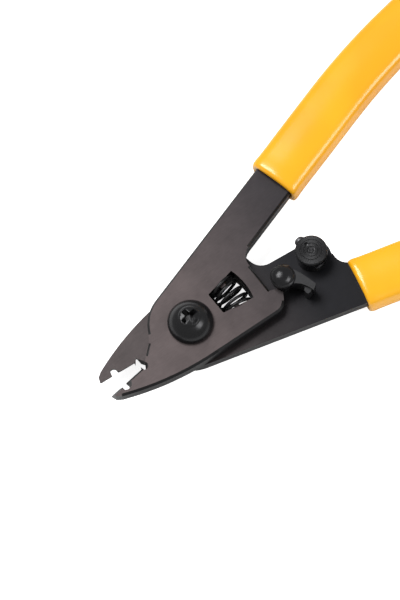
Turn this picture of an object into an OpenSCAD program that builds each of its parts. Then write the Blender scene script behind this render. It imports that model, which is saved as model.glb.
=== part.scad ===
// Two-blade fibre stripper with a coil return spring, a swing lock and yellow dipped grips.
// Origin: on the pivot axis, in the plane the tool rests on.
// +X runs from the pivot towards the handles, midway between them. The jaws are at -X.
// +Z runs from the lock nut up to the domed head of the pivot screw. Drawn open, lock parked.

/* [Blades] */
// Thickness of each steel blade
blade_t = 2.8; // [2.6:0.05:2.85]
// Angle from the centre line to each handle when open
open_half = 16.5; // [15.5:0.25:17]
// Angle by which the handles close on each other
close_angle = 14; // [13:0.25:14]
// Radius of the round boss about the pivot, also half the handle's reach from the axis
boss_r = 9.7; // [9.4:0.1:10]
// Width of the handle shank
shank_w = 9.8; // [9.4:0.1:10]
// Height of the coined break along the outer edges
edge_c = 0.5; // [0.3:0.05:0.7]

/* [Jaws] */
// Distance from the pivot axis to the jaw tips along the blade
jaw_len = 23.65; // [22.5:0.05:24.5]
// Distance from the pivot axis to the round jacket notch
notch_x = 20; // [19.6:0.05:20.3]
// Radius of the round jacket notch
notch_r = 0.62; // [0.5:0.01:0.7]
// Distance from the pivot axis to the V notch
vee_x = 14.2; // [13.9:0.05:14.5]
// Slope of the cutting edges against the blade
cut_slope = 10.9; // [10:0.1:12]
// Width of the ground bevel behind the cutting edges
bevel_w = 1.15; // [0.8:0.05:1.4]
// Flat land left under the bevel
bevel_land = 0.35; // [0.2:0.05:0.6]

/* [Handles and grips] */
// Straight length of the handles from the pivot axis
straight_len = 62; // [58:1:66]
// Radius of the inward bow of the handle ends
bow_r = 165; // [150:1:220]
// Angle covered by the bow
bow_angle = 17; // [14:0.5:18]
// Where the grips begin, from the pivot axis
grip_start = 38.5; // [38:0.1:41]
// Grip wall beside the shank
grip_side = 1.5; // [1.2:0.1:1.8]
// Grip wall above and below the shank
grip_face = 2.4; // [2.2:0.1:2.4]
// Rounding along the grip
grip_round = 2.3; // [1.6:0.1:2.8]

/* [Pivot] */
// Diameter of the domed screw head
head_d = 10.3; // [9.6:0.1:11]
// Height of the upright rim of the head
head_rim = 0.9; // [0.6:0.1:1.1]
// Rise of the dome above the rim
head_dome = 3.4; // [2:0.1:3.6]
// Diameter of the shoulder the blades turn on
shoulder_d = 5; // [4.6:0.1:5.4]
// Thread diameter of the pivot screw
thread_d = 4; // [3.8:0.1:4.2]
// Width across the flats of the lock nut
nut_af = 7; // [6.8:0.1:8]
// Height of the lock nut
nut_h = 2; // [1.8:0.1:2]
// Across the cross recess
recess_w = 4.1; // [3.4:0.1:4.4]

/* [Return spring] */
// Outside diameter of the coil
coil_d = 7.35; // [7.32:0.01:7.38]
// Wire diameter
wire_d = 0.75; // [0.7:0.01:0.76]
// Half turns in the coil
half_turns = 9; // [7:2:9]
// Inner side of the spring window, from the pivot axis
win_in = 7.2; // [7:0.05:7.3]
// Outer arc of the spring window, about the pivot axis
win_out = 15.3; // [15.2:0.05:15.5]
// Half width of the window at its inner side
win_half = 2.8; // [2.7:0.05:2.9]
// Slope of the window's sides
win_slope = 10; // [9:0.5:11]
// Width of the tongues that hold the coil
tongue_w = 1.3; // [1:0.05:1.4]
// Length of the tongues
tongue_len = 1.2; // [0.8:0.1:1.4]

/* [Lock lever] */
// Diameter of the domed rivet head
rivet_d = 5.2; // [4.8:0.1:5.4]
// Height of the rivet head
rivet_h = 1.7; // [1.4:0.1:2]
// Reach of the lever from the rivet
lever_len = 7.7; // [7.5:0.1:7.8]
// Thickness of the lever arm
lever_t = 1.3; // [1.1:0.1:1.5]
// Gap under the lever arm, above the front blade
lever_gap = 0.35; // [0.3:0.05:0.5]
// Direction of the parked lever, from the centre line
lever_park = -57.8; // [-58.2:0.1:-57]

/* [Closing stop] */
// Diameter of the stop post's disc
disc_d = 7.3; // [6.8:0.1:7.6]
// Diameter of the post's neck
neck_d = 7; // [6.6:0.1:7.2]
// Thickness of the disc
disc_t = 1; // [0.8:0.1:1.2]
// Height of the disc's underside above the rear blade
neck_h = 3.6; // [3.4:0.1:4]
// Diameter of the stop set screw
setscrew_d = 2.5; // [2.2:0.1:2.6]

/* [Hidden] */
$fn = 48;
washer_t = 0.4;
fit = 0.02;
zi = nut_h + washer_t + blade_t + fit / 2; // plane in which the blades meet
shank_in = boss_r - shank_w;          // inner edge of the shank
mid_y = boss_r - shank_w / 2;
coil_x = (win_in + win_out) / 2 - 0.15;
coil_r = (coil_d - wire_d) / 2;
bow_c = [straight_len, mid_y - bow_r];
cut_y0 = 3.15;                        // height of the cutting edge where it leaves the V
cut_x0 = vee_x + 0.65;
vee_y = 2.31;                         // depth to which the V and the round notch reach
notch_y = 3.28;
rivet_at = [22.98, -1.78];               // on the rear blade's own axes
post_at = [31.28, -5.25];
post_shank = 4;
rivet_shank = 2.4;
detent_at = [23.56, 0.49];               // small blind hole beside the rivet
steel = [0.2, 0.19, 0.19];
steel_dark = [0.12, 0.12, 0.13];
yellow = [1, 0.72, 0.05];

function cut_y(x) = cut_y0 + (x - cut_x0) * tan(cut_slope);
function turn(p, a) = [p.x * cos(a) - p.y * sin(a), p.x * sin(a) + p.y * cos(a)];
function arc_pts(c, r, a, b, n) =
    [for (i = [0:n]) c + r * [cos(a + (b - a) * i / n), sin(a + (b - a) * i / n)]];

// Corner b between a and c, rounded to radius r
function corner(a, b, c, r, n) =
    let (u = (a - b) / norm(a - b), v = (c - b) / norm(c - b),
         h = acos(max(-1, min(1, u * v))) / 2,
         o = b + (u + v) / norm(u + v) * r / sin(h),
         p = b + u * r / tan(h), q = b + v * r / tan(h),
         s = atan2(p.y - o.y, p.x - o.x), e = atan2(q.y - o.y, q.x - o.x),
         d = e - s > 180 ? e - s - 360 : e - s < -180 ? e - s + 360 : e - s)
    [for (i = [0:n]) o + r * [cos(s + d * i / n), sin(s + d * i / n)]];

// Outline from corners [x, y, radius]; radius 0 keeps the point sharp
function soft(v, n = 5) = let (m = len(v))
    [for (i = [0:m - 1]) let (r = v[i][2], b = [v[i].x, v[i].y],
        a = [v[(i + m - 1) % m].x, v[(i + m - 1) % m].y], c = [v[(i + 1) % m].x, v[(i + 1) % m].y])
        each r > 0 ? corner(a, b, c, r, n) : [b]];

// Centre of the arc of rise h that bows out to the right of the way from p to q
function bulge_r(p, q, h) = (pow(norm(q - p), 2) / 4 + h * h) / (2 * h);
function bulge_c(p, q, h) = let (u = (q - p) / norm(q - p))
    (p + q) / 2 - [u.y, -u.x] * (bulge_r(p, q, h) - h);
function ang(c, p) = atan2(p.y - c.y, p.x - c.x);

// Outer edge of a jaw: one shallow arc from beside the boss to the tip
jaw_a = [-2, -9.2];
jaw_b = [-jaw_len + 0.95, 2.3];
jaw_c = bulge_c(jaw_b, jaw_a, 1.05);
jaw_r = bulge_r(jaw_b, jaw_a, 1.05);

// The parts of the outline that both blades share, on the blade's own axes
function jaw_pts(lip_tip, lip_pivot, heel) = concat(
    arc_pts(jaw_c, jaw_r, ang(jaw_c, jaw_a), ang(jaw_c, jaw_b), 12),
    soft_run([[-jaw_len + 0.95, 2.3], [-jaw_len + 0.05, 3.4, 0.8], [-jaw_len, cut_y(jaw_len), 0.12],
        [-notch_x - notch_r, cut_y(notch_x + notch_r), lip_tip],
        [-notch_x - notch_r, notch_y - notch_r, notch_r - 0.01],
        [-notch_x + notch_r, notch_y - notch_r, notch_r - 0.01],
        [-notch_x + notch_r, cut_y(notch_x - notch_r), lip_pivot],
        [-cut_x0, cut_y0, 0.25], [-vee_x, vee_y, 0.1], [heel.x, heel.y, 1.2],
        [-8.9, 5.0, 1.4], [-7.3, 6.4]]));
// Same as soft(), for an open run: its first and last points stay as they are
function soft_run(v, n = 6) = [for (i = [0:len(v) - 1]) let (b = [v[i].x, v[i].y])
    each i == 0 || i == len(v) - 1 ? [b]
        : corner([v[i - 1].x, v[i - 1].y], b, [v[i + 1].x, v[i + 1].y], v[i][2], n)];
function shank_pts() = concat(
    arc_pts([0, 0], boss_r, 138, 90, 10),
    arc_pts(bow_c, bow_r + shank_w / 2, 90, 90 - bow_angle, 10),
    arc_pts(bow_c + bow_r * [sin(bow_angle), cos(bow_angle)],
        shank_w / 2, 80 - bow_angle, -80 - bow_angle, 12),
    arc_pts(bow_c, bow_r - shank_w / 2, 90 - bow_angle, 90, 10));

// Corners of the lobe round the spring window: notch, nose and heel
lobe = [[16.3, -10.2, 0.5], [18.75, -12.0, 0.9], [14.9, -15.3, 3]];
crotch = [19.6, shank_in];

module front_outline() {
    polygon(concat(jaw_pts(1.15, 0.2, [-12.1, 3.55]), shank_pts(),
        soft_run([[30, shank_in], [crotch.x, crotch.y, 3.5], each lobe, jaw_a])));
}

// Where the rear blade swells from the shank into the lug that carries the stop
function hump_pts() = soft_run([[52, shank_in], [36.2, -1, 3.6], [36, -4.2]]);

module rear_outline() {
    polygon(concat(jaw_pts(0.2, 1.15, [-12.4, 3.85]), shank_pts(), hump_pts(),
        arc_pts(post_at, 4.5, 8, -122, 13),
        soft_run([post_at + 4.5 * [cos(130), -sin(130)], [19.3, -7.2, 3.5], [16.3, -13.2, 1],
            [14.9, -15.3, 2.4], jaw_a])));
}

// Opening for the spring, in the tool's axes; tongue is the side (1 or -1) that keeps a tongue
module window(tongue) {
    difference() {
        intersection() {
            circle(win_out, $fn = 96);
            polygon(soft([[win_in, win_half, 0.3], [win_in, -win_half, 0.3],
                [16, -win_half - (16 - win_in) * tan(win_slope), 0],
                [16, win_half + (16 - win_in) * tan(win_slope), 0]]));
        }
        translate([coil_x - tongue_w / 2, tongue > 0 ? win_half - tongue_len + 0.6 : -5.6])
            square([tongue_w, 5 + tongue_len - win_half]);
    }
}

// Coined break along a straight edge from p to q, the blade on the left of the way
module break_line(p, q, k) {
    translate([p.x, p.y, blade_t]) rotate(ang(p, q)) rotate([90, 0, 90]) linear_extrude(norm(q - p))
        polygon([[k, 0], [k, 1], [-1, 1], [-1, -k - 1]]);
}

// Coined break along a round edge of radius r about c
module break_arc(c, r, a, b, k) {
    translate(c) rotate(a) rotate_extrude(angle = b - a, $fn = 96)
        polygon([[r - k, blade_t], [r - k, blade_t + 1], [r + 1, blade_t + 1], [r + 1, blade_t - k - 1]]);
}

// Centre of a rounded corner b
function corner_c(a, b, c, r) = let (u = (a - b) / norm(a - b), v = (c - b) / norm(c - b))
    b + (u + v) / norm(u + v) * r / sin(acos(u * v) / 2);

// Coined break round a rounded corner, met on the way from a by b to c
module break_corner(a, b, c, r, k) {
    o = corner_c(a, b, c, r);
    s = ang(a, b) - 90;
    e = ang(b, c) - 90;
    break_arc(o, r, s, e < s ? e + 360 : e, k);
}

// Ground bevel behind the cutting edges and the mouths of both notches
module grind() {
    rise = blade_t - bevel_land;
    translate([-cut_x0 + 0.1, cut_y0 - 0.02, 0]) rotate(180 - cut_slope) rotate([90, 0, 90])
        linear_extrude(jaw_len - cut_x0 + 3) polygon([[0, bevel_land], [bevel_w, blade_t + 0.01],
            [bevel_w, blade_t + 2], [-2, blade_t + 2], [-2, bevel_land]]);
    translate([-notch_x, notch_y, bevel_land]) cylinder(h = rise + 0.01, r1 = notch_r, r2 = notch_r + 0.75);
    translate([-vee_x, vee_y + 0.15, bevel_land]) cylinder(h = rise + 0.01, r1 = 0.15, r2 = 0.95);
}

// Breaks shared by both blades: jaw back, boss, outer side of the shank, heel of the lobe
module coin(throat) {
    heel = [lobe[2].x, lobe[2].y];
    break_arc(jaw_c, jaw_r, ang(jaw_c, jaw_b), ang(jaw_c, jaw_a), edge_c);
    break_arc([0, 0], boss_r, 90, 142, edge_c);
    break_line([grip_start + 2, boss_r], [0, boss_r], edge_c);
    break_line([-9.3, 4.82], throat, edge_c);
    break_line(jaw_a, heel - 1.6 * (heel - jaw_a) / norm(heel - jaw_a), edge_c);
}

// One blade on its own axes, mating face at z = 0, exposed face at z = blade_t
module blade_steel(throat) {
    difference() {
        linear_extrude(blade_t) children();
        grind();
        coin(throat);
        translate([0, 0, -1]) cylinder(h = blade_t + 2, d = shoulder_d + 2 * fit);
    }
}

module front_blade() {
    notch = [lobe[0].x, lobe[0].y];
    nose = [lobe[1].x, lobe[1].y];
    heel = [lobe[2].x, lobe[2].y];
    color(steel) translate([0, 0, zi + fit / 2]) rotate(open_half) difference() {
        blade_steel([-12.1, 3.55]) front_outline();
        rotate(-open_half) translate([0, 0, -1]) linear_extrude(blade_t + 2) window(1);
        break_corner(jaw_a, heel, nose, 3, edge_c);
        break_corner(heel, nose, notch, 0.9, edge_c);
        break_line(notch, crotch + 3 * (notch - crotch) / norm(notch - crotch), edge_c);
        break_line([crotch.x + 2.6, shank_in], [grip_start + 2, shank_in], edge_c);
    }
}

module rear_blade() {
    color(steel) translate([0, 0, zi - fit / 2]) rotate([180, 0, 0]) rotate(open_half) difference() {
        blade_steel([-12.4, 3.85]) rear_outline();
        rotate(-open_half) translate([0, 0, -1]) linear_extrude(blade_t + 2) window(1);
        translate([post_at.x, post_at.y, -1]) cylinder(h = blade_t + 2, d = post_shank + 2 * fit);
        translate([rivet_at.x, rivet_at.y, -1]) cylinder(h = blade_t + 2, d = rivet_shank + 2 * fit);
        translate([detent_at.x, detent_at.y, -1]) cylinder(h = 1.3, d = 0.7);
    }
}

function on_rear(p) = turn([p.x, -p.y], -open_half);
rivet_c = on_rear(rivet_at);
post_c = on_rear(post_at);

// Dome of radius a and rise h that ends on the axis at height top, as part of a turned profile
function dome(a, h, top, n = 9) = let (r = (a * a + h * h) / (2 * h))
    arc_pts([0, top - r], r, 90 - asin(a / r), 90, n);
function flip(v) = [for (i = [len(v) - 1:-1:0]) [v[i].x, -v[i].y]];

module pivot_screw() {
    seat = zi + blade_t + fit;
    top = seat + head_rim + head_dome;
    color(steel_dark) difference() {
        rotate_extrude($fn = 96) polygon(concat([[0, 0], [thread_d / 2 - 0.3, 0], [thread_d / 2, 0.3],
            [thread_d / 2, nut_h + washer_t], [shoulder_d / 2, nut_h + washer_t], [shoulder_d / 2, seat],
            [head_d / 2 - 0.2, seat], [head_d / 2, seat + 0.2]], dome(head_d / 2, head_dome, top)));
        translate([0, 0, top - 2.2]) rotate(7) intersection() {
            union() for (a = [0, 90]) rotate(a) translate([-recess_w, -0.55, 0]) cube([2 * recess_w, 1.1, 3]);
            cylinder(h = 3, r1 = 0.9, r2 = 0.9 + (recess_w / 2 - 0.9) * 3 / 2.2);
        }
    }
}

module pivot_nut() {
    color(steel_dark) difference() {
        intersection() {
            cylinder(h = nut_h, d = nut_af / cos(30), $fn = 6);
            cylinder(h = nut_h, r1 = nut_af / 2 + 0.25, r2 = nut_af / 2 + 0.25 + nut_h);
        }
        translate([0, 0, -1]) cylinder(h = nut_h + 2, d = thread_d + fit);
    }
}

module pivot_washer() {
    color(steel_dark) translate([0, 0, nut_h]) difference() {
        cylinder(h = washer_t, d = nut_af + 1);
        translate([0, 0, -1]) cylinder(h = washer_t + 2, d = thread_d + 0.2);
    }
}

// Coil in the window: its turns fan out towards the wide side and lean a little, and its end
// turns close up and lie along the sides
module return_spring() {
    reach = function(x) win_half + (x - win_in) * tan(win_slope) - wire_d / 2 / cos(win_slope) - 0.03;
    n = 12;
    m = 10;
    rings = n * half_turns;
    pts = [for (i = [0:rings]) let (a = 180 - 180 * i / n,
            t = max(-1, min(1, (2 * i / n - half_turns) / (half_turns - 1))),
            y = (1.15 * t - 0.15 * pow(t, 3)) * reach(coil_x + coil_r * cos(a)) - 0.3 * (1 - t * t) * sin(a))
        for (j = [0:m - 1]) let (r = coil_r + wire_d / 2 * cos(360 * j / m))
            [coil_x + r * cos(a), y + wire_d / 2 * sin(360 * j / m), r * sin(a)]];
    sides = [for (i = [0:rings - 1], j = [0:m - 1]) let (e = (j + 1) % m)
        each [[i * m + j, i * m + e, (i + 1) * m + e], [i * m + j, (i + 1) * m + e, (i + 1) * m + j]]];
    color(steel_dark) translate([0, 0, zi])
        polyhedron(pts, concat(sides, [[for (j = [m - 1:-1:0]) j], [for (j = [0:m - 1]) rings * m + j]]));
}

// The swing lock. Its upper layer, with the hub and the arm, passes over the front blade. Its lower
// layer stands level with the front blade: a strut under the arm, and a dog that drops behind the
// nose of the front blade once the handles are closed.
module lock_lever() {
    arm_z = blade_t + lever_gap;
    tip = lever_len;
    color(steel_dark) translate([rivet_c.x, rivet_c.y, zi]) rotate(lever_park) difference() {
        union() {
            translate([0, 0, 0.34]) cylinder(h = arm_z, d = 3.8);
            translate([0, 0, arm_z]) cylinder(h = lever_t, r = 2.65);
            translate([0, 0, arm_z]) linear_extrude(lever_t) polygon(concat([[0.6, 2.55], [1.3, 2.5],
                [3.35, 2.18], [6, 1.44], [tip - 0.2, 0.88], [tip, 0.6], [tip, -0.6]],
                arc_pts([5.2, -6.2], 5.95, 66, 122, 8)));
            translate([0, 0, 0.34]) linear_extrude(arm_z + 0.2) polygon([[0, 1.8], [3.2, 2.05], [5.9, 1.34],
                [tip - 0.2, 0.7], [tip - 0.1, -0.35], [7.2, -0.35], [7, -1.2], [6.72, -1.73], [6.3, -1.68],
                [5.6, -1.25], [5.4, -0.4], [4.5, -0.3], [3.3, -0.5], [2.3, -0.5], [0, -1.2]]);
        }
        translate([0, 0, -1]) cylinder(h = 10, d = rivet_shank + 0.08);
    }
}

module lever_washer() {
    color(steel_dark) translate([rivet_c.x, rivet_c.y, zi]) difference() {
        cylinder(h = 0.3, d = 3.8);
        translate([0, 0, -1]) cylinder(h = 3, d = rivet_shank + 0.1);
    }
}

module lock_rivet() {
    seat = blade_t + lever_gap + lever_t + 0.03;
    r = rivet_shank / 2;
    color(steel_dark) translate([rivet_c.x, rivet_c.y, zi]) rotate_extrude() polygon(concat(
        flip(dome(1.9, 0.7, blade_t + 0.72, 5)), [[r, -blade_t - 0.02], [r, seat], [rivet_d / 2 + 0.25, seat],
        [rivet_d / 2 + 0.25, seat + 0.3], [rivet_d / 2, seat + 0.45]],
        dome(rivet_d / 2 - 0.05, rivet_h - 0.6, seat + rivet_h, 7)));
}

module stop_post() {
    r = post_shank / 2;
    d = disc_d / 2;
    top = neck_h + disc_t;
    color(steel_dark) translate([post_c.x, post_c.y, zi]) difference() {
        rotate_extrude($fn = 96) polygon(concat(flip(dome(2.6, 0.8, blade_t + 0.82, 5)),
            [[r, -blade_t - 0.02],
            [r, 0], [neck_d / 2, 0], [neck_d / 2, neck_h], [d - 0.1, neck_h], [d, neck_h + 0.1],
            [d, top - 0.25], [d - 0.25, top]],
            [for (g = [2.45, 1.6, 0.75]) each [[g + 0.16, top], [g + 0.1, top - 0.15],
                [g - 0.1, top - 0.15], [g - 0.16, top]]],
            [[0, top]]));
        translate([0, 1.8, top - 0.6]) cylinder(h = 1, d = 0.9);
        translate([0, 0, 1.42]) rotate([90, 0, 0]) cylinder(h = 20, d = setscrew_d + fit, center = true);
    }
}

// Its tip meets the front blade's shank when the handles close
module stop_set_screw() {
    tip = (shank_in + post_c.x * sin(open_half - close_angle)) / cos(open_half - close_angle) - 0.04;
    len = tip - post_c.y + neck_d / 2 - 0.4;
    color(steel_dark) translate([post_c.x, tip, zi + 1.42]) rotate([90, 0, 0]) difference() {
        union() {
            cylinder(h = 0.45, d1 = setscrew_d - 0.9, d2 = setscrew_d);
            translate([0, 0, 0.45]) cylinder(h = len - 0.45, d = setscrew_d);
        }
        translate([0, 0, len - 1.2]) cylinder(h = 2, d = 1.3 / cos(30), $fn = 6);
    }
}

// Section of a grip, centred on the shank and drawn in by s; its corners are arcs
function grip_pts(s) = let (w = shank_w / 2 + grip_side - s, h = blade_t / 2 + grip_face - s, r = grip_round)
    concat(arc_pts([w - r, r - h], r, -90, 0, 5), arc_pts([w - r, h - r], r, 0, 90, 5),
        arc_pts([r - w, h - r], r, 90, 180, 5), arc_pts([r - w, r - h], r, 180, 270, 5));

// A dipped grip round the shank, on the blade's own axes, centred on its mid plane.
// Each stretch starts just inside the one before it, a hair slimmer.
module grip_body() {
    end = bow_c + bow_r * [sin(bow_angle), cos(bow_angle)];
    translate([grip_start, mid_y, 0]) rotate([90, 0, 90]) linear_extrude(straight_len - grip_start)
        polygon(grip_pts(0));
    translate(bow_c) rotate(90 - bow_angle) rotate_extrude(angle = bow_angle + 0.1, $fn = 96)
        translate([bow_r, 0]) polygon(grip_pts(0.02));
    translate(end) rotate(-90 - bow_angle) translate([0, -0.25]) rotate_extrude(angle = 180, $fn = 64)
        polygon([for (p = grip_pts(0.04)) [max(0, p.x), p.y]]);
}

module front_grip() {
    color(yellow) translate([0, 0, zi + fit / 2]) rotate(open_half) difference() {
        translate([0, 0, blade_t / 2]) grip_body();
        linear_extrude(blade_t) polygon(concat(shank_pts(), [[30, shank_in]]));
    }
}

module rear_grip() {
    color(yellow) rotate(-open_half) mirror([0, 1, 0]) difference() {
        translate([0, 0, zi - fit / 2 - blade_t / 2]) grip_body();
        translate([0, 0, zi - blade_t - fit / 2]) linear_extrude(blade_t)
            polygon(concat(shank_pts(), hump_pts(), [[30, 2]]));
    }
}

front_blade();
rear_blade();
pivot_screw();
pivot_nut();
pivot_washer();
return_spring();
lock_lever();
lever_washer();
lock_rivet();
stop_post();
stop_set_screw();
front_grip();
rear_grip();
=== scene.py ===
import math
import bpy
import bmesh
from mathutils import Vector, Matrix, noise


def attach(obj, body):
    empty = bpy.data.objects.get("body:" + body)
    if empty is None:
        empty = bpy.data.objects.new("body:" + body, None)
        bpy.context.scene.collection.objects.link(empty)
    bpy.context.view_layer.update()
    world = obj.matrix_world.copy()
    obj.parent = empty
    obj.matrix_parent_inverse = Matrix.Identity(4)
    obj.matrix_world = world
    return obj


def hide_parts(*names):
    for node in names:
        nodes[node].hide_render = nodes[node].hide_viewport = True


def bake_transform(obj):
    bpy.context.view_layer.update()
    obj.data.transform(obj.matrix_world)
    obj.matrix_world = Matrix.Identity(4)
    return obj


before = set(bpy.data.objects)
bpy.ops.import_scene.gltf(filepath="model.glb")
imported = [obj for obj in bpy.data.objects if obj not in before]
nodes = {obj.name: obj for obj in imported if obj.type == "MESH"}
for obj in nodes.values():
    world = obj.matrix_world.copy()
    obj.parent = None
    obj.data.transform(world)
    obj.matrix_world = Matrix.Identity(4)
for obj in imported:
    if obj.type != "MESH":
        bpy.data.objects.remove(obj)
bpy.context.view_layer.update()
scene = bpy.context.scene
mm = 0.001
print("frame loaded:", len(nodes), "nodes")


# shader helpers
class Sock:
    def __init__(self, tree, out):
        self.tree, self.out = tree, out

    def math(self, op, other=None, third=None):
        node = self.tree.nodes.new("ShaderNodeMath")
        node.operation = op
        for i, v in enumerate((self, other, third)):
            if v is None:
                continue
            if isinstance(v, Sock):
                self.tree.links.new(v.out, node.inputs[i])
            else:
                node.inputs[i].default_value = v
        return Sock(self.tree, node.outputs[0])

    def __add__(self, o): return self.math("ADD", o)
    def __radd__(self, o): return self.math("ADD", o)
    def __sub__(self, o): return self.math("SUBTRACT", o)
    def __mul__(self, o): return self.math("MULTIPLY", o)
    def __rmul__(self, o): return self.math("MULTIPLY", o)
    def __truediv__(self, o): return self.math("DIVIDE", o)
    def __rsub__(self, o): return self.math("MULTIPLY_ADD", -1.0, o)
    def __pow__(self, o): return self.math("POWER", o)
    def clamp(self): return self.math("MINIMUM", 1.0).math("MAXIMUM", 0.0)


class Shader:
    def __init__(self, name):
        self.mat = bpy.data.materials.new(name)
        self.mat.use_nodes = True
        self.tree = self.mat.node_tree
        self.bsdf = self.tree.nodes["Principled BSDF"]

    def node(self, kind, out=0, **values):
        n = self.tree.nodes.new("ShaderNode" + kind)
        for key, v in values.items():
            if hasattr(n, key):
                setattr(n, key, v)
                continue
            slot = n.inputs[int(key[1:])] if key[1:].isdigit() else n.inputs[key.replace("_", " ")]
            if isinstance(v, Sock):
                self.tree.links.new(v.out, slot)
            else:
                slot.default_value = v
        return Sock(self.tree, n.outputs[out])

    def place(self):
        return self.node("TexCoord", 3)

    def noise(self, scale, detail=3.0, rough=0.5, stretch=(1, 1, 1), seed=0.0):
        moved = self.node("Mapping", i0=self.place(), i1=(seed, seed * 0.7, 0), i3=stretch)
        return self.node("TexNoise", 0, Vector=moved, Scale=scale, Detail=detail, Roughness=rough)

    def ramp(self, value, *stops):
        n = self.tree.nodes.new("ShaderNodeValToRGB")
        while len(n.color_ramp.elements) < len(stops):
            n.color_ramp.elements.new(0.5)
        for el, (at, col) in zip(n.color_ramp.elements, stops):
            el.position = at
            el.color = (*col, 1) if isinstance(col, tuple) else (col, col, col, 1)
        self.tree.links.new(value.out, n.inputs[0])
        return Sock(self.tree, n.outputs[0])

    def set(self, **values):
        for key, v in values.items():
            slot = self.bsdf.inputs[key.replace("_", " ")]
            if isinstance(v, Sock):
                self.tree.links.new(v.out, slot)
            else:
                slot.default_value = v
        return self

    def bump(self, height, strength, distance):
        n = self.tree.nodes.new("ShaderNodeBump")
        n.inputs["Strength"].default_value = strength
        n.inputs["Distance"].default_value = distance
        self.tree.links.new(height.out, n.inputs["Height"])
        self.tree.links.new(n.outputs[0], self.bsdf.inputs["Normal"])
        return self


# materials
# the blade colour fades from a lighter tone at the jaws to a dark one on the handles: painted reflection and shade
def bladeLook(name, front, back, seed, begin):
    s = Shader(name)
    grain = s.noise(2400, 4, 0.6, seed=seed)
    cloud = s.noise(150, 5, 0.65, seed=seed)
    scratch = s.noise(500, 3, 0.5, (1, 9, 1), seed)
    along = s.node("SeparateXYZ", 0, Vector=s.place())
    paintedReflectionFade = ((along - begin) * 30.0).clamp()              # painted reflection and shade: 0 at the lit jaws, 1 out on the darker handles
    tone = s.node("Mix", 2, data_type="RGBA", i0=paintedReflectionFade, i6=(*front, 1), i7=(*back, 1))
    shade = s.ramp(cloud * 0.7 + scratch * 0.3, (0.3, 0.72), (0.7, 1.18))
    mixed = s.node("Mix", 2, data_type="RGBA", blend_type="MULTIPLY", i0=1.0, i6=tone, i7=shade)
    s.set(Base_Color=mixed, Metallic=0.72, Roughness=grain * 0.18 + 0.36)
    return s.bump(grain * 0.7 + scratch * 0.3, 0.18, 0.00006).mat


def blackLook(name, rough, tone, turned=0.0):
    s = Shader(name)
    grain = s.noise(1500, 3, 0.5)
    s.set(Base_Color=(tone, tone, tone * 1.06, 1), Metallic=0.6, Roughness=grain * 0.08 + rough, Anisotropic=turned)
    return s.bump(grain, 0.05, 0.00005).mat


def gripLook():
    s = Shader("gripVinyl")
    cloud = s.noise(60, 2, 0.5)
    peel = s.noise(700, 2, 0.4)
    tone = s.ramp(cloud, (0.35, (0.86, 0.385, 0.006)), (0.65, (0.92, 0.44, 0.008)))
    s.set(Base_Color=tone, Roughness=cloud * 0.08 + 0.18, Coat_Weight=0.25)
    return s.bump(peel, 0.04, 0.0001).mat


# per blade: the painted reflection tone at the jaws, then the painted shade tone out on the handles
looks = {"frontBlade": bladeLook("frontSteel", (0.068, 0.054, 0.054), (0.022, 0.020, 0.023), 0.0, 0.004),
         "rearBlade": bladeLook("rearSteel", (0.050, 0.041, 0.041), (0.007, 0.007, 0.009), 0.3, -0.008),
         "black": blackLook("blackSteel", 0.24, 0.03), "turned": blackLook("turnedSteel", 0.2, 0.02, 0.6),
         # the wall look is a darker copy of the steel that paints shade on the blade walls and edge breaks
         "wire": blackLook("springWire", 0.2, 0.012), "lever": blackLook("leverSteel", 0.3, 0.022), "wall": blackLook("wallSteel", 0.34, 0.012),
         # the set screw's look is a paler steel, partly its brighter metal and partly a painted glint at its socket
         # end
         "paleGlint": blackLook("screwSteel", 0.3, 0.09), "grip": gripLook()}
print("materials ready")


# finished pieces
def settle(bm, name, look, slot, body, *stands, crease=32, even=True):
    bmesh.ops.recalc_face_normals(bm, faces=bm.faces)
    data = bpy.data.meshes.new(name)
    bm.to_mesh(data)
    bm.free()
    data.materials.append(looks[look])
    for p in data.polygons:
        p.use_smooth = True
    data.set_sharp_from_angle(angle=math.radians(crease))
    ob = bpy.data.objects.new(name, data)
    scene.collection.objects.link(ob)
    if even:
        ob.modifiers.new("even", "WEIGHTED_NORMAL").keep_sharp = True
    if stands:
        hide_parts(*stands)
    if body:
        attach(ob, body)
    return ob


steel = {  # look, slot, body, width of the broken edge in mm
    "front_blade": ("frontBlade", "blade_steel", "front", 0.06), "rear_blade": ("rearBlade", "blade_steel", "rear", 0.06),
    "pivot_screw": ("turned", "black_steel", "rear", 0.05), "pivot_nut": ("black", "black_steel", "rear", 0.1),
    "pivot_washer": ("black", "black_steel", "rear", 0.04), "lever_washer": ("black", "black_steel", "rear", 0.03),
    "lock_rivet": ("turned", "black_steel", "rear", 0.04), "lock_lever": ("lever", "black_steel", "lever", 0.14),
    "stop_post": ("turned", "black_steel", "rear", 0.04), "stop_set_screw": ("paleGlint", "screw_steel", "rear", 0.06)}


cross = {"within": 2.2, "grow": 1.12, "under": 3.0}   # the head's recess is opened out a little


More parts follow.
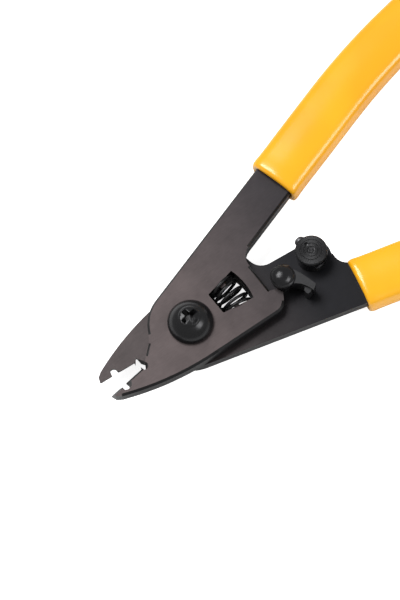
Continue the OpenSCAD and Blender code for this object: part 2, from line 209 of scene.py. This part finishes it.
def refine(node):
    look, slot, body, width = steel[node]
    blade = node.endswith("blade")
    bm = bmesh.new()
    bm.from_mesh(nodes[node].data)
    bmesh.ops.remove_doubles(bm, verts=bm.verts, dist=1e-6)
    if not blade:
        bmesh.ops.dissolve_limit(bm, angle_limit=math.radians(0.6), verts=bm.verts, edges=bm.edges)
    if node == "pivot_screw":
        top = max(v.co.z for v in bm.verts)
        for v in bm.verts:
            if math.hypot(v.co.x, v.co.y) < cross["within"] * mm and v.co.z > top - cross["under"] * mm:
                v.co.x, v.co.y = v.co.x * cross["grow"], v.co.y * cross["grow"]
    if not blade:
        hard = [e for e in bm.edges if len(e.link_faces) == 2 and e.calc_face_angle(0) > math.radians(28)]
        bmesh.ops.bevel(bm, geom=hard, offset=width * mm, offset_type="OFFSET", segments=2, profile=0.5,
                        affect="EDGES", clamp_overlap=True, material=-1)
        bmesh.ops.remove_doubles(bm, verts=bm.verts, dist=1e-6)
    ob = settle(bm, node + "Skin", look, slot, body, node, crease=22 if blade else 32, even=not blade)
    if blade:
        ob.data.materials.append(looks["wall"])
        for p in ob.data.polygons:
            p.material_index = 0 if abs(p.normal.z) > 0.92 else 1    # walls and breaks get painted shade: a darker copy of the steel
            p.use_smooth = abs(p.normal.z) < 0.999
    return ob


for node in steel:
    refine(node)
print("steel refined")

# dipped grips, lofted along the shank
grip = {"start": 38.5, "straight": 62.0, "bow": 165.0, "bend": 17.0, "mid": 4.8, "wide": 6.4, "high": 3.8,
        "slant": 0.35, "open": 16.5, "plane": 5.21, "thick": 2.8}
rim = ((0.5, 4.6, 1.2), (0.3, 5.1, 1.55), (0.05, 5.5, 2.3), (0.0, 5.85, 2.95), (0.25, 6.2, 3.45),
       (0.75, 6.37, 3.74), (1.4, 6.4, 3.8), (2.6, 6.34, 3.74), (5.0, 6.32, 3.72), (10, 6.36, 3.76))


def gripStations():
    g = grip
    run = [(g["start"] + d, 0.0, w, h) for d, w, h in rim]
    run += [(x, 0.0, 6.38, 3.78) for x in (53, 58, g["straight"])]
    run += [(g["straight"], math.radians(g["bend"] * k / 14), 6.38, 3.78) for k in range(1, 15)]
    return run


def makeGrip(name, node, body, flip):
    g = grip
    bm = bmesh.new()
    ring = bmesh.ops.create_circle(bm, segments=48, radius=1.0, cap_ends=True)["verts"]
    unit = [(v.co.x, v.co.y) for v in ring]
    turnBy = math.radians(g["open"])

    def lay(verts, x, bend, w, h, past, tip):
        cut = min(2.4, w * 0.45, h * 0.62)
        for v, (cu, cv) in zip(verts, unit):
            y = math.copysign(min(abs(cu) * 1.25, 1.0) * (w - cut), cu) + cut * cu
            z = math.copysign(min(abs(cv) * 1.25, 1.0) * (h - cut), cv) + cut * cv
            px = x + past + (g["slant"] * y / g["wide"] * (1 - tip) if bend == 0 and past == 0 else 0)
            py = g["mid"] + y
            if bend or past:
                r = g["bow"] + y
                px = g["straight"] + r * math.sin(bend) + past * math.cos(bend)
                py = g["mid"] - g["bow"] + r * math.cos(bend) - past * math.sin(bend)
            zz = z + g["thick"] / 2
            if flip:
                py, zz = -py, -zz
            a = -turnBy if flip else turnBy
            v.co = Vector((px * math.cos(a) - py * math.sin(a), px * math.sin(a) + py * math.cos(a), zz + g["plane"])) * mm

    stations = gripStations()
    lay(ring, *stations[0], 0, 0)
    edges = [e for e in bm.edges]
    rings = stations[1:]
    rounds = [(math.radians(90 * k / 9)) for k in range(1, 10)]
    for st in rings:
        new = bmesh.ops.extrude_edge_only(bm, edges=edges)["geom"]
        verts = orderLike(ring, [v for v in new if isinstance(v, bmesh.types.BMVert)])
        edges = [e for e in new if isinstance(e, bmesh.types.BMEdge) and all(v in set(verts) for v in e.verts)]
        lay(verts, *st, 0, 0)
        ring = verts
    endBend = math.radians(g["bend"])
    for t in rounds:
        new = bmesh.ops.extrude_edge_only(bm, edges=edges)["geom"]
        verts = orderLike(ring, [v for v in new if isinstance(v, bmesh.types.BMVert)])
        edges = [e for e in new if isinstance(e, bmesh.types.BMEdge) and all(v in set(verts) for v in e.verts)]
        lay(verts, g["straight"], endBend, max(6.38 * math.cos(t), 0.4), 3.78 * max(math.cos(t) ** 0.45, 0.3), 6.1 * math.sin(t), 1)
        ring = verts
    bmesh.ops.contextual_create(bm, geom=edges)
    return settle(bm, name, "grip", "grip_vinyl", body, node, crease=60, even=False)


def orderLike(old, fresh):
    spots = {tuple(round(c, 9) for c in v.co): v for v in fresh}
    return [spots[tuple(round(c, 9) for c in v.co)] for v in old]


makeGrip("frontGripSkin", "front_grip", "front", False)
makeGrip("rearGripSkin", "rear_grip", "rear", True)
print("grips dipped")

# return spring: its ends lie on the two sides of the window
coil = {"x": 11.1, "z": 5.21, "radius": 3.3, "wire": 0.75, "halfTurns": 9, "side": 2.8, "inner": 7.2, "slope": 10,
        "turnOver": 3.4}


def makeSpring():
    c = coil
    path = bpy.data.curves.new("coilPath", "CURVE")
    path.dimensions, path.bevel_depth, path.bevel_resolution = "3D", c["wire"] / 2 * mm, 5
    path.use_fill_caps = True
    steps = 24
    total = steps * c["halfTurns"]
    line = path.splines.new("POLY")
    line.points.add(total)
    for i in range(total + 1):
        a = math.radians(180 - 180 * i / steps)
        t = max(-1, min(1, (2 * i / steps - c["halfTurns"]) / (c["halfTurns"] - 1)))
        x = c["x"] + c["radius"] * math.cos(a)
        reach = c["side"] + (x - c["inner"]) * math.tan(math.radians(c["slope"])) - c["wire"] / 2 - 0.04
        y = (1.15 * t - 0.15 * t ** 3) * reach - 0.3 * (1 - t * t) * math.sin(a)
        line.points[i].co = (x * mm, y * mm, (c["z"] + c["radius"] * math.sin(a)) * mm, 1)
    holder = bpy.data.objects.new("coilPath", path)
    scene.collection.objects.link(holder)
    bpy.context.view_layer.update()
    raw = bpy.data.meshes.new_from_object(holder.evaluated_get(bpy.context.evaluated_depsgraph_get()))
    bpy.data.objects.remove(holder)
    bm = bmesh.new()
    bm.from_mesh(raw)
    bmesh.ops.remove_doubles(bm, verts=bm.verts, dist=1e-7)
    ob = settle(bm, "springCoil", "wire", "spring_wire", None, "return_spring", crease=50, even=False)
    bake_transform(ob)


makeSpring()
print("spring wound")

# floor, light, camera
white = Shader("paper")
seen = white.node("LightPath", 0)
white.set(Base_Color=(0.9, 0.9, 0.9, 1), Roughness=0.9)
glow = white.node("Emission", 0, Color=(1, 1, 1, 1), Strength=0.8)
both = white.node("AddShader", 0, i0=Sock(white.tree, white.bsdf.outputs[0]), i1=glow)
pick = white.node("MixShader", 0, i0=seen, i1=Sock(white.tree, white.bsdf.outputs[0]), i2=both)
white.tree.links.new(pick.out, white.tree.nodes["Material Output"].inputs[0])
floorMesh = bmesh.new()
bmesh.ops.create_grid(floorMesh, x_segments=1, y_segments=1, size=1.5)
data = bpy.data.meshes.new("floor")
floorMesh.to_mesh(data)
floor = bpy.data.objects.new("floor", data)
floor.location.z = -0.0002
scene.collection.objects.link(floor)
data.materials.append(white.mat)

world = bpy.data.worlds.new("studio")
scene.world = world
world.use_nodes = True
world.node_tree.nodes["Background"].inputs[0].default_value = (1, 1, 1, 1)
world.node_tree.nodes["Background"].inputs[1].default_value = 0.42


def softbox(name, at, aim, size, power):
    light = bpy.data.lights.new(name, "AREA")
    light.shape, light.size, light.size_y, light.energy = "RECTANGLE", size[0], size[1], power
    ob = bpy.data.objects.new(name, light)
    ob.location = at
    ob.rotation_mode = "QUATERNION"
    ob.rotation_quaternion = (Vector(aim) - Vector(at)).to_track_quat("-Z", "Y")
    scene.collection.objects.link(ob)
    return ob


softbox("keyLight", (-0.1, 0.35, 0.6), (0.02, 0, 0), (0.45, 0.35), 4.4)
softbox("fillLight", (0.3, -0.5, 0.5), (0.02, 0, 0), (0.35, 0.3), 2.2)

shot = {"tilt": 21.5, "lean": 10.5, "turn": 38.2, "lens": 200, "tall": 0.1344, "aim": (2.15, 5.06, 8.0)}
tilt, lean, turnBy = (math.radians(shot[k]) for k in ("tilt", "lean", "turn"))
side = Vector((math.cos(lean), math.sin(lean), 0))
near = Vector((math.sin(lean), -math.cos(lean), 0))
down = near * math.cos(tilt) - Vector((0, 0, math.sin(tilt)))
back = near * math.sin(tilt) + Vector((0, 0, math.cos(tilt)))
right = side * math.cos(lean) + down * math.sin(lean)
up = side * math.sin(lean) - down * math.cos(lean)
spin = Matrix.Rotation(-turnBy, 3, "Z")
right, up, back = spin @ right, spin @ up, spin @ back
camData = bpy.data.cameras.new("shot")
camData.lens, camData.sensor_width = shot["lens"], 36
cam = bpy.data.objects.new("shot", camData)
aimX, aimY, aimZ = (v * mm for v in shot["aim"])
reach = shot["tall"] * shot["lens"] / 36
cam.location = Vector((0, 0, aimZ)) + right * aimX + up * aimY + back * reach
cam.rotation_mode = "QUATERNION"
cam.rotation_quaternion = Matrix((right, up, back)).transposed().to_quaternion()
camData.clip_end = 20
scene.collection.objects.link(cam)
scene.camera = cam
scene.view_settings.view_transform = "Standard"
print("camera set")
